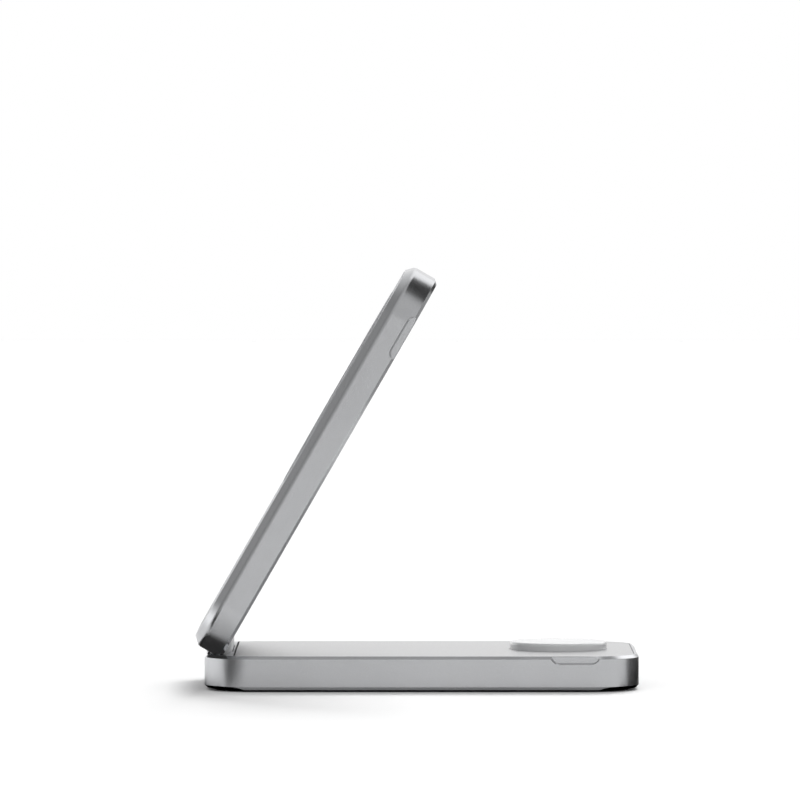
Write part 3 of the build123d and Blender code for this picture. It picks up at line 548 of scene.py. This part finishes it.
cutAway(panelShell, [
    prism(plateSeat, -past, size["plateDepth"], panelPlace),
    prism(slabOutline(size["faceRim"]), thick - size["faceDepth"], thick + past, panelPlace),
    prism(cavity, -2 * past, thick + 2 * past, panelPlace),
    prism(circleOutline(0, 0, size["barrelRadius"]), -cheek, cheek, acrossPanel),
    prism(barrelWay, -cheek, cheek, acrossPanel),
    prism(boxOutline(-2 * size["barrelRadius"], 0, 0, lipHeight), -cheek, cheek, acrossPanel),
    prism(pinSlot, cheek - pinLap, size["pinReach"], acrossPanel),
    prism(pinSlot, -size["pinReach"], pinLap - cheek, acrossPanel),
    notchCutter(panelPlace, -slab["foldGap"] / 2),
])
finishPiece(panelShell, "panel", "frame_aluminium", "panel_frame")

# the three thin plates sit flush in the frames
print("plates")
plate = {"rim": 1.25, "start": 7.8, "corner": 1.2, "thickness": 1.2, "edge": 0.1, "hiddenEdge": 0.01,
         "puckHole": 12.5}


def plateRings(low, high, lowEdge, highEdge):
    size = plate
    levels = [(low, lowEdge), (low + lowEdge, 0), (high - highEdge, 0), (high, highEdge)]
    return [(plateOutline(size["rim"] + inset, size["start"] + inset, size["corner"]), height)
            for height, inset in levels]


deckRings = plateRings(top - plate["thickness"], top, plate["hiddenEdge"], plate["edge"])
deck = loft("deck_plate", deckRings, basePlace, ("silver_plate",))
hole, edge = plate["puckHole"], plate["edge"]
holeRings = [(circleOutline(watchX, 0, hole), top - 2 * past), (circleOutline(watchX, 0, hole), top - edge),
             (circleOutline(watchX, 0, hole + 2 * edge), top + edge)]
cutAway(deck, [loft("cutter", holeRings, basePlace)])
finishPiece(deck, "base", "silver_plate", "base_deck")

# the cup's wall and its cutter both pass the plate's inner face by the lap
puckCup = {"radius": 13.5, "depth": 2.4, "wall": 0.8, "mouth": 0.4, "corner": 0.6, "lap": 0.5}
size = puckCup
coverRings = plateRings(0, plate["thickness"], plate["edge"], plate["hiddenEdge"])
cover = loft("panel_inner_plate", coverRings, panelPlace, ("silver_plate",))
cupOutline = circleOutline(watchX, 0, size["radius"] + size["wall"])
cup = prism(cupOutline, size["lap"], size["depth"] + size["wall"], panelPlace)
joined = cover.modifiers.new("cup", "BOOLEAN")
joined.operation, joined.solver, joined.object = "UNION", "EXACT", cup
cleanMesh(cover)
bpy.data.objects.remove(cup)
hollow = [(size["radius"] + size["mouth"] + size["lap"], -size["lap"]), (size["radius"], size["mouth"])]
hollow += arc(size["radius"] - size["corner"], size["depth"] - size["corner"], size["corner"], 0, 90, 6)
hollowRings = [(circleOutline(watchX, 0, radius), height) for radius, height in hollow]
cutAway(cover, [loft("cutter", hollowRings, panelPlace)])
finishPiece(cover, "panel", "silver_plate", "inner_cover")

face = {"inset": 2.4, "edge": 0.12, "ringInner": 23.0, "ringOuter": 28.0, "groove": 0.4}
faceSides = ((0, thick - panelCuts["faceDepth"]), (0, thick - face["edge"]), (face["edge"], thick))
faceRings = [(slabOutline(face["inset"] + inset), height) for inset, height in faceSides]
facePlate = loft("telephone_plate", faceRings, panelPlace, ("face_plate",))
grooveFloor = thick - face["groove"]
grooveSides = boxOutline(face["ringInner"], face["ringOuter"], grooveFloor, thick + past)
cutAway(facePlate, [turned("cutter", grooveSides, (ringX, 0), panelPlace, (), closed=True)])
finishPiece(facePlate, "panel", "face_plate", "phone_face")

# the ring stands a little proud of the plate, so that what rests on it doesn't slide
print("soft ring")
softRing = {"inner": 23.05, "outer": 27.95, "proud": 0.25, "edge": 0.15, "ribs": 9, "ribDepth": 0.07,
            "ribSteps": 8, "ribSink": 0.02, "floorGap": 0.01}
size = softRing
crown, foot = thick + size["proud"], grooveFloor + size["floorGap"]
pitch = (size["outer"] - size["inner"] - 2 * size["edge"]) / size["ribs"]
ringProfile = [(size["outer"], foot), (size["outer"], crown - size["edge"])]
for rib in range(size["ribs"]):
    start = size["outer"] - size["edge"] - rib * pitch
    for part in range(size["ribSteps"]):        # each rib is a low arch
        t = part / size["ribSteps"]
        sink = size["ribDepth"] * (1 - sin(pi * t))
        ringProfile.append((start - t * pitch, crown - sink - size["ribSink"]))
ringProfile += [(size["inner"] + size["edge"], crown - size["ribDepth"] - size["ribSink"]),
                (size["inner"], crown - size["edge"]), (size["inner"], foot)]
ringPiece = turned("soft_ring_ribbed", ringProfile, (ringX, 0), panelPlace, ("soft_silicone",), 192,
                   closed=True)
finishPiece(ringPiece, "panel", "soft_silicone", "soft_ring")

# dished cap with a flange that holds it under the deck
print("watch puck")
puck = {"radius": 12.4, "rise": 2.0, "edge": 0.8, "dishRadius": 10.6, "dishDepth": 0.5, "flange": 1.8,
        "flangeHeight": 1.0, "wall": 1.0, "skin": 1.05, "lip": 0.12, "dishSteps": 24}
size = puck
puckTop = top + size["rise"]
under = top - plate["thickness"]
sphere = (size["dishRadius"] ** 2 + size["dishDepth"] ** 2) / (2 * size["dishDepth"])
dishFloor = puckTop - size["dishDepth"]
dish = []
for i in range(size["dishSteps"] + 1):
    radius = size["dishRadius"] * (1 - i / size["dishSteps"])
    dish.append((radius, dishFloor + sphere - sqrt(sphere ** 2 - radius ** 2)))
ceiling = puckTop - size["skin"]
bore, flange = size["radius"] - size["wall"], size["radius"] + size["flange"]
flangeLow = under - size["flangeHeight"]
puckProfile = [(0.0, ceiling), (bore, ceiling), (bore, flangeLow), (flange, flangeLow), (flange, under),
               (size["radius"], under)]
puckProfile += arc(size["radius"] - size["edge"], puckTop - size["edge"], size["edge"], 0, 90, 10)
puckProfile += [(size["dishRadius"] + size["lip"], puckTop)] + dish
puckPiece = turned("watch_puck_cap", puckProfile, (watchX, 0), basePlace, ("puck_plastic",), 192)
finishPiece(puckPiece, "base", "puck_plastic", "watch_puck")

# the knuckle with the bore and the slots that grip the friction clips
print("hinge knuckle")
knuckle = {"radius": 3.4, "flat": 3.0, "halfWidth": 14.0, "neck": 1.8, "seat": 0.1, "bottom": 3.6,
           "bore": 1.25, "clipBore": 1.9, "tabReach": 2.6, "tabHalf": 0.3, "webHalf": 2.2, "edge": 0.25}


def knuckleOutline(inset):
    size = knuckle
    radius, flat = size["radius"] - inset, size["flat"] - inset
    shoulder = top + size["seat"] - pivot.z
    rest = size["bottom"] - pivot.z
    meet = degrees(atan2(sqrt(radius ** 2 - flat ** 2), -flat))
    return ([(-size["neck"] + inset, rest), (radius, rest)] + arc(0, 0, radius, 0, meet, 24)
            + [(-flat, shoulder + inset), (-size["neck"] + inset, shoulder + inset)])


size = knuckle
edge, half = size["edge"], size["halfWidth"]
knucklePiece = loft("hinge_knuckle", [(knuckleOutline(edge), -half), (knuckleOutline(0), -half + edge),
                                      (knuckleOutline(0), half - edge), (knuckleOutline(edge), half)],
                    acrossBase, ("knuckle_steel",))
tabAngle = degrees(atan2(size["tabHalf"], size["clipBore"]))
clipOutline = arc(0, 0, size["clipBore"], 90 + tabAngle, 450 - tabAngle, 47) + [
    (size["tabHalf"], size["tabReach"]), (-size["tabHalf"], size["tabReach"])]
cutAway(knucklePiece, [prism(circleOutline(0, 0, size["bore"], 48), -half - past, half + past, acrossBase),
                       prism(clipOutline, size["webHalf"], half + past, acrossBase),
                       prism(clipOutline, -half - past, -size["webHalf"], acrossBase)])
finishPiece(knucklePiece, "base", "knuckle_steel", "hinge_block")

# a pill held by its flange, rounded at the front
print("power button")
button = {"width": 8.6, "height": 2.2, "proud": 0.35, "edge": 0.3, "edgeSteps": 6, "flange": 0.8, "lip": 0.9,
          "flangeFront": 30.75}
size = button


def buttonOutline(grow):
    return slotOutline(baseCuts["buttonX"], -baseCuts["buttonZ"], button["width"] + 2 * grow,
                       button["height"] + 2 * grow)


buttonRings = [(buttonOutline(size["lip"]), size["flangeFront"] - size["flange"]),
               (buttonOutline(size["lip"]), size["flangeFront"]), (buttonOutline(0), size["flangeFront"])]
for step in range(size["edgeSteps"] + 1):
    turn = radians(90 * step / size["edgeSteps"])
    buttonRings.append((buttonOutline(-size["edge"] * (1 - cos(turn))),
                        halfWidth + size["proud"] - size["edge"] * (1 - sin(turn))))
buttonPiece = loft("power_button_cap", buttonRings, farWall, ("frame_aluminium",))
finishPiece(buttonPiece, "button", "frame_aluminium", "power_button", angle=35)

# foot ribs, socket contacts and charge lights are rows of one shape
print("rows")


def rowTree(name, bars):
    # a row of bars with an oval section, or else of flattened balls, spaced evenly from a start point
    tree = bpy.data.node_groups.new(name, "GeometryNodeTree")
    face = tree.interface
    face.new_socket("Geometry", in_out="OUTPUT", socket_type="NodeSocketGeometry")
    for label, kind in (("Count", "Int"), ("Start", "Vector"), ("Spacing", "Vector"), ("Turn", "Vector"),
                        ("Length", "Float"), ("Width", "Float"), ("Height", "Float"), ("Finish", "Material")):
        face.new_socket(label, in_out="INPUT", socket_type="NodeSocket" + kind)
    given = addNode(tree, "NodeGroupInput").outputs
    points = addNode(tree, "GeometryNodeMeshLine", {"Count": given["Count"], "Start Location": given["Start"],
                                                    "Offset": given["Spacing"]})
    if bars:
        ends = []
        for half in (-0.5, 0.5):
            reach = addNode(tree, "ShaderNodeMath", {0: given["Length"], 1: half}, operation="MULTIPLY")
            ends.append(addNode(tree, "ShaderNodeCombineXYZ", {"Y": reach.outputs[0]}).outputs[0])
        line = addNode(tree, "GeometryNodeCurvePrimitiveLine", {"Start": ends[0], "End": ends[1]})
        section = addNode(tree, "GeometryNodeCurvePrimitiveCircle", {"Resolution": 16, "Radius": 1.0})
        shape = addNode(tree, "GeometryNodeCurveToMesh", {
            "Curve": line.outputs["Curve"], "Profile Curve": section.outputs["Curve"], "Fill Caps": True})
        long = 1.0
    else:
        shape = addNode(tree, "GeometryNodeMeshUVSphere", {"Segments": 32, "Rings": 12, "Radius": 1.0})
        long = given["Length"]
    size = addNode(tree, "ShaderNodeCombineXYZ", {"X": given["Width"], "Y": long, "Z": given["Height"]})
    shape = addNode(tree, "GeometryNodeTransform", {"Geometry": shape.outputs["Mesh"],
                                                    "Scale": size.outputs[0]})
    copies = addNode(tree, "GeometryNodeInstanceOnPoints", {"Points": points.outputs["Mesh"],
                                                            "Instance": shape.outputs["Geometry"],
                                                            "Rotation": given["Turn"]})
    solid = addNode(tree, "GeometryNodeRealizeInstances", {"Geometry": copies.outputs["Instances"]})
    smooth = addNode(tree, "GeometryNodeSetShadeSmooth", {"Geometry": solid.outputs["Geometry"]})
    painted = addNode(tree, "GeometryNodeSetMaterial", {"Geometry": smooth.outputs["Geometry"],
                                                        "Material": given["Finish"]})
    addNode(tree, "NodeGroupOutput", {"Geometry": painted.outputs["Geometry"]})
    return tree


def rowPiece(name, tree, body, slot, **values):
    # the values are the tree's inputs, by name
    piece = bpy.data.objects.new(name, bpy.data.meshes.new(name))
    bpy.context.collection.objects.link(piece)
    modifier = piece.modifiers.new("row", "NODES")
    modifier.node_group = tree
    for item in tree.interface.items_tree:
        if item.item_type == "SOCKET" and item.in_out == "INPUT":
            modifier[item.identifier] = values[item.name]
    cleanMesh(piece)
    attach(piece, body)


barRow = rowTree("row of rounded bars", True)
domeRow = rowTree("row of domes", False)

footPad = {"inset": 2.6, "height": 1.05, "edge": 0.15, "rim": 3.0, "ribDepth": 0.18, "ribLength": 48.0,
           "ribWidth": 0.8, "ribPitch": 2.4, "ribCount": 33}
size = footPad
padRings = [(slabOutline(size["inset"] + size["rim"] + size["edge"]), size["ribDepth"]),
            (slabOutline(size["inset"] + size["rim"]), 0), (slabOutline(size["inset"] + size["edge"]), 0),
            (slabOutline(size["inset"]), size["edge"]), (slabOutline(size["inset"]), size["height"])]
padPiece = loft("foot_pad_sheet", padRings, basePlace, ("foot_silicone",))
finishPiece(padPiece, "base", "foot_silicone", "foot_pad")
rowPiece("foot_pad_ribs", barRow, "base", "foot_silicone", Count=size["ribCount"],
         Start=Vector((-size["ribPitch"] * (size["ribCount"] - 1) / 2, 0, size["ribDepth"])) * mm,
         Spacing=Vector((size["ribPitch"], 0, 0)) * mm, Turn=(0, 0, 0), Length=size["ribLength"] * mm,
         Width=size["ribWidth"] * mm / 2, Height=size["ribDepth"] * mm, Finish=finishes["foot_silicone"])

contacts = {"count": 12, "pitch": 0.5, "width": 0.25, "length": 2.6, "rise": 0.04, "tongueHalf": 0.35,
            "x": 51.2}
size = contacts
for name, side in (("socket_contacts_upper", 1), ("socket_contacts_lower", -1)):
    rowPiece(name, barRow, "base", None, Count=size["count"],
             Start=Vector((size["x"], -size["pitch"] * (size["count"] - 1) / 2,
                           baseCuts["socketZ"] + side * size["tongueHalf"])) * mm,
             Spacing=Vector((0, size["pitch"], 0)) * mm, Turn=(0, 0, pi / 2), Length=size["length"] * mm,
             Width=size["width"] * mm / 2, Height=size["rise"] * mm, Finish=finishes["gold"])

lens = {"radius": 0.6, "bulge": 0.12}
size = {**baseCuts, **lens}
firstLight = size["lightX"] - size["lightPitch"] * (size["lightCount"] - 1) / 2
rowPiece("charge_light_lenses", domeRow, "base", "light_plastic", Count=size["lightCount"],
         Start=Vector((firstLight, halfWidth, size["buttonZ"])) * mm,
         Spacing=Vector((size["lightPitch"], 0, 0)) * mm, Turn=(0, 0, 0), Length=size["bulge"] * mm,
         Width=size["radius"] * mm, Height=size["radius"] * mm, Finish=finishes["light_plastic"])

# the pieces that keep their shape get their finish here
print("carried finishes")
slotOf = {part["node"]: part["material_slot"] for part in frame["record"]["subparts"]}
for node, piece in frame["nodes"].items():
    finish = coilFinishes.get(node) or finishes[slotOf[node]]
    if not piece.material_slots:
        piece.data.materials.append(finish)
    for place in piece.material_slots:
        place.material = finish

# white card floor, soft light from the back right, long lens from the front
print("floor, light and camera")
studio = {
    "floorHalf": 4.0, "floorLift": 0.02,                    # metres, and the glow that lifts the floor
    "keyStrength": 2.6, "keyAngle": 30, "keyFrom": (0.18, 0.62, 0.55),
    "roomLevel": 0.6,                                       # what lights the matt surfaces
    # where the room changes on the way up, from 0 at the level of the floor to 1 straight up
    "lowCardsEnd": 0.12, "highCardsStart": 0.4, "ceilingStart": 0.9, "ceilingFull": 0.97,
    "ceilingLevel": 0.55,
    "cameraAt": (-0.0055, -2.0, 0.1315), "clipEnd": 20.0,   # metres
    "cameraPitch": 1.684,                                   # degrees down
    "cameraLens": 352.2, "sensorWidth": 36.0,               # millimetres
}


def floorMaterial():
    # matte white card; what the camera and shiny things see of it is lifted to white, with the shadow kept
    material, tree, shader, place = startMaterial("matte white card", Roughness=0.9, Specular_IOR_Level=0.0,
                                                  Emission_Color=(1, 1, 1, 1))
    addGrain(tree, shader, place, {"dark": "#f4f4f4", "light": "#f7f7f7", "grainMm": 1.5, "detail": 2.0})
    path = addNode(tree, "ShaderNodeLightPath").outputs
    seen = path["Is Camera Ray"]
    for ray in ("Is Glossy Ray", "Is Transmission Ray"):
        seen = addNode(tree, "ShaderNodeMath", {0: seen, 1: path[ray]}, operation="MAXIMUM").outputs[0]
    lift = addNode(tree, "ShaderNodeMath", {0: seen, 1: studio["floorLift"]}, operation="MULTIPLY")
    tree.links.new(lift.outputs[0], shader.inputs["Emission Strength"])
    return material


half = studio["floorHalf"]
floorMesh = bpy.data.meshes.new("floor")
floorMesh.from_pydata([(x, y, 0) for x, y in boxOutline(-half, half, -half, half)], [], [(0, 1, 2, 3)])
floorMesh.materials.append(floorMaterial())
floor = bpy.data.objects.new("floor", floorMesh)
bpy.context.collection.objects.link(floor)

world = bpy.data.worlds.new("studio")
bpy.context.scene.world = world
world.use_nodes = True
tree = world.node_tree
tree.nodes.clear()
direction = addNode(tree, "ShaderNodeTexCoord").outputs["Generated"]
parts = addNode(tree, "ShaderNodeSeparateXYZ", {"Vector": direction}).outputs
toFront = addNode(tree, "ShaderNodeMath", {0: parts["Y"], 1: -1.0}, operation="MULTIPLY")
azimuth = addNode(tree, "ShaderNodeMath", {0: parts["X"], 1: toFront.outputs[0]}, operation="ARCTAN2")
around = addNode(tree, "ShaderNodeMapRange", {"Value": azimuth.outputs[0], "From Min": -pi, "From Max": pi})
# the room as metal sees it: levels by angle from the front, to the left negative, to the right positive,
# first low round the part, then high
lowCards = [(-180, 0.95), (-150, 1.9), (-105, 2.2), (-85, 1.5), (-74, 0.2), (-58, 0.05), (-40, 0.5),
            (-20, 0.62), (70, 0.7), (88, 0.6), (102, 0.12), (150, 0.03), (160, 0.25), (174, 0.85),
            (180, 0.95)]
highCards = [(-180, 1.2), (-140, 0.7), (-100, 0.35), (-60, 0.35), (-30, 0.6), (24, 0.75), (60, 0.7),
             (110, 0.9), (128, 1.9), (180, 1.4)]


def cardRamp(levels):
    # levels by angle, as grey stops on a ramp once round
    ramp = addNode(tree, "ShaderNodeValToRGB", {"Fac": around.outputs["Result"]})
    while len(ramp.color_ramp.elements) < len(levels):
        ramp.color_ramp.elements.new(0.5)
    for stop, (angle, level) in zip(ramp.color_ramp.elements, levels):
        stop.position = (angle + 180) / 360
        stop.color = (level, level, level, 1)
    return ramp.outputs["Color"]


raised = addNode(tree, "ShaderNodeMapRange", {"Value": parts["Z"], "From Min": studio["lowCardsEnd"],
                                              "From Max": studio["highCardsStart"]})
overhead = addNode(tree, "ShaderNodeMapRange", {"Value": parts["Z"], "From Min": studio["ceilingStart"],
                                                "From Max": studio["ceilingFull"]})
seenCards = addNode(tree, "ShaderNodeMix", {"Factor": raised.outputs["Result"], "A": cardRamp(lowCards),
                                            "B": cardRamp(highCards)}, data_type="RGBA")
seenRoom = addNode(tree, "ShaderNodeMix", {"Factor": overhead.outputs["Result"],
                                           "A": seenCards.outputs["Result"],
                                           "B": [studio["ceilingLevel"]] * 3 + [1]}, data_type="RGBA")
path = addNode(tree, "ShaderNodeLightPath").outputs
clear = addNode(tree, "ShaderNodeMath", {0: path["Is Camera Ray"], 1: path["Is Transmission Ray"]},
                operation="MAXIMUM")
lit = addNode(tree, "ShaderNodeMix", {"Factor": path["Is Diffuse Ray"], "A": seenRoom.outputs["Result"],
                                      "B": [studio["roomLevel"]] * 3 + [1]}, data_type="RGBA")
shown = addNode(tree, "ShaderNodeMix", {"Factor": clear.outputs[0], "A": lit.outputs["Result"],
                                        "B": (1, 1, 1, 1)}, data_type="RGBA")
background = addNode(tree, "ShaderNodeBackground", {"Color": shown.outputs["Result"], "Strength": 1.0})
addNode(tree, "ShaderNodeOutputWorld", {"Surface": background.outputs["Background"]})

# cards that only shiny surfaces see, each with its level and corners in millimetres: they draw the dark and
# bright bands in the metal; a corner's fourth number is how solid the card is there, 1 unless given
cards = {
    "left front": (0.0, [(-62, -36, 0.3), (-120, -230, 0.3), (-420, -230, 0.3), (-420, -105, 0.3),
                         (-90, -44, 0.3)]),
    "left end": (0.0, [(-30, -32, 0.3), (-46.3, -31.9, 0.3), (-49.7, -31.1, 0.3), (-76, -31, 0.3),
                       (-76, 4, 0.3), (-50, 4, 0.3)]),
    "left end fade": (0.0, [(-50, 4, 0.3), (-76, 4, 0.3), (-76, 32, 0.3, 0), (-50, 32, 0.3, 0)]),
    "right end": (0.0, [(50, -14, 0.3), (66, -14, 0.3), (66, -33, 0.3), (49.7, -31.1, 0.3),
                        (46.3, -31.9, 0.3), (30, -32, 0.3)]),
    "right end fade": (0.0, [(50, -14, 0.3), (66, -14, 0.3), (66, 14, 0.3, 0), (50, 14, 0.3, 0)]),
    "right back": (0.0, [(66, -26, 0.3), (320, -4, 0.3), (340, 420, 0.3), (160, 330, 0.3), (64, 8, 0.3)]),
    "right side": (0.45, [(76, -60, 16), (76, -17, 16), (76, -17, 66), (76, 34, 66), (76, 34, 114),
                          (76, -60, 114)]),
    "hinge corner": (0.04, [(-57, -20, 9.3), (-57, -29.5, 9.3), (-49.5, -29.5, 9.3), (-49.5, -20, 9.3)]),
    "hinge corner fade": (0.04, [(-57, -29.5, 9.3), (-57, -33, 9.3, 0), (-49.5, -33, 9.3, 0),
                                 (-49.5, -29.5, 9.3)]),
    "above the tip": (0.0, [(27, -60, 117), (27, 3, 117), (27, 3, 194), (27, -60, 194)]),
    "above the free end": (1.0, [(50, -70, 150), (110, -70, 150), (110, 20, 150), (50, 20, 150)]),
}
for name, (level, corners) in cards.items():
    material, tree, shader = startMaterial(name + " card", Base_Color=(0, 0, 0, 1), Roughness=1.0,
                                           Specular_IOR_Level=0.0, Emission_Color=(1, 1, 1, 1),
                                           Emission_Strength=level)[:3]
    cardMesh = bpy.data.meshes.new(name + " card")
    cardMesh.from_pydata([Vector(corner[:3]) * mm for corner in corners], [], [tuple(range(len(corners)))])
    solid = cardMesh.attributes.new("solid", "FLOAT", "POINT")
    for value, corner in zip(solid.data, corners):
        value.value = corner[3] if len(corner) > 3 else 1.0
    howSolid = addNode(tree, "ShaderNodeAttribute", attribute_name="solid")
    tree.links.new(howSolid.outputs["Fac"], shader.inputs["Alpha"])
    cardMesh.materials.append(material)
    card = bpy.data.objects.new((name + " card").replace(" ", "_"), cardMesh)
    bpy.context.collection.objects.link(card)
    card.visible_camera = card.visible_diffuse = card.visible_shadow = card.visible_transmission = False

keyData = bpy.data.lights.new("key", "SUN")
keyData.energy, keyData.angle = studio["keyStrength"], radians(studio["keyAngle"])
key = bpy.data.objects.new("key", keyData)
key.location = studio["keyFrom"]
key.rotation_euler = (-key.location).to_track_quat("-Z", "Y").to_euler()
key.visible_glossy = False          # metal takes its light from the room, so the chamfers don't burn out
bpy.context.collection.objects.link(key)

cameraData = bpy.data.cameras.new("camera")
cameraData.lens, cameraData.sensor_width = studio["cameraLens"], studio["sensorWidth"]
cameraData.clip_end = studio["clipEnd"]
camera = bpy.data.objects.new("camera", cameraData)
camera.location = studio["cameraAt"]
camera.rotation_euler = (radians(90 - studio["cameraPitch"]), 0, 0)
bpy.context.collection.objects.link(camera)
bpy.context.scene.camera = camera
bpy.context.scene.view_settings.view_transform = "Standard"

print("done")
